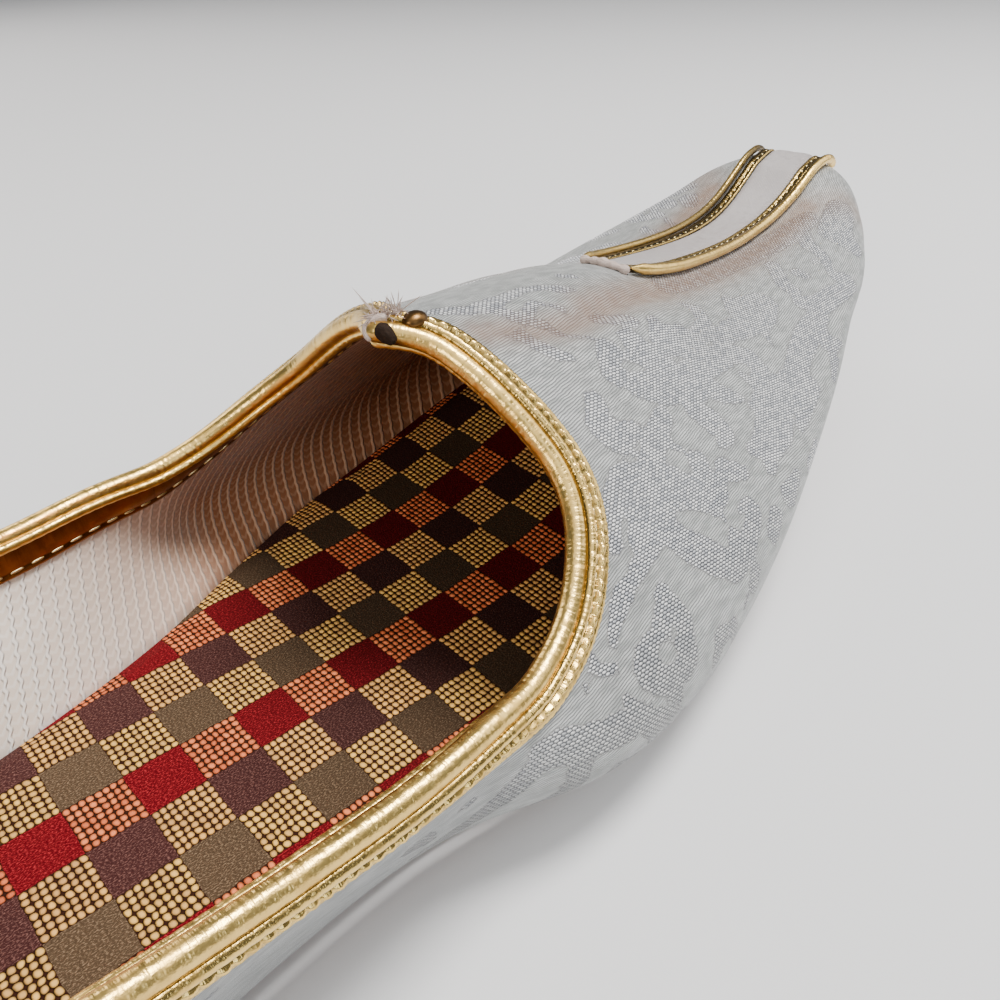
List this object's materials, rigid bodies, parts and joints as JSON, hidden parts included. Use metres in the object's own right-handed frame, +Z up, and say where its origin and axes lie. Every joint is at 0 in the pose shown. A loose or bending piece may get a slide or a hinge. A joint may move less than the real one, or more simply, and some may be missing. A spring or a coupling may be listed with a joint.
{
  "type": "mojari shoe",
  "caption": "Slip-on mojari shoe with a turned-up toe, hollow upper, piped and bound topline, a trimmed strip on the toe, checked insole and thin flat sole.",
  "frame": {"origin": "on the floor, midway between the back of the heel and the tip of the toe, on the centre line", "axes": "+X to the toe, +Y to the wearer's left, +Z up from the floor"},
  "size_m": [0.299, 0.1028, 0.0635],
  "materials": {
    "sole_leather": "smooth tan sole leather",
    "heel_leather": "smooth brown heel leather",
    "check_cloth": "woven check in cream, red, mauve and olive",
    "brocade": "off-white satin brocade with raised floral figures",
    "gold_trim": "glossy gold foil leather"
  },
  "bodies": {
    "root": {"outsole": "sole_leather", "heel_lift": "heel_leather", "insole": "check_cloth", "upper": "brocade", "topline_piping": "gold_trim", "topline_binding": "gold_trim", "topline_facing": "gold_trim", "toe_panel": "brocade", "toe_piping_left": "gold_trim", "toe_piping_right": "gold_trim", "toe_band_left": "gold_trim", "toe_band_right": "gold_trim"}
  },
  "joints": []
}
